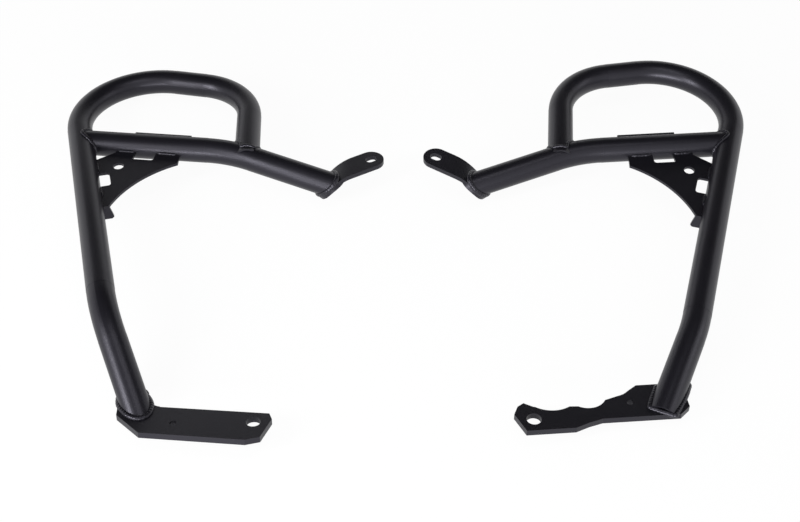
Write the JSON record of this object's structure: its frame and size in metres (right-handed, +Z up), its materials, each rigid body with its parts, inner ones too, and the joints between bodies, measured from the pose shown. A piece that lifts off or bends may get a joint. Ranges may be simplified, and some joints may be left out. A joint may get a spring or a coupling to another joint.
{
  "type": "motorcycle crash bars",
  "caption": "Pair of bent-tube engine guards for a motorcycle, each with a rounded loop, cross tube, corner plate, slotted ear and bolt-on foot plate.",
  "frame": {"origin": "bottom centre of the pair's bounding box, on the ground midway between the two bars", "axes": "+X across the pair from the left bar to the right bar as pictured, +Y from the foot plates towards the loops, +Z up from the ground on which the bars lie"},
  "size_m": [0.7476, 0.534, 0.0607],
  "materials": {
    "tube": "satin black powder coat",
    "plate": "satin black powder coat",
    "weld": "satin black powder coat over a rippled weld bead"
  },
  "bodies": {
    "root": {"left_hoop_tube": "tube", "left_cross_tube": "tube", "left_gusset_plate": "plate", "left_cross_strip": "plate", "left_ear_plate": "plate", "left_foot_plate": "plate", "left_joint_weld": "weld", "left_loop_weld": "weld", "left_ear_weld": "weld", "left_foot_weld": "weld", "left_gusset_weld": "weld", "right_hoop_tube": "tube", "right_cross_tube": "tube", "right_gusset_plate": "plate", "right_cross_strip": "plate", "right_ear_plate": "plate", "right_foot_plate": "plate", "right_joint_weld": "weld", "right_loop_weld": "weld", "right_ear_weld": "weld", "right_foot_weld": "weld", "right_gusset_weld": "weld"}
  },
  "joints": []
}
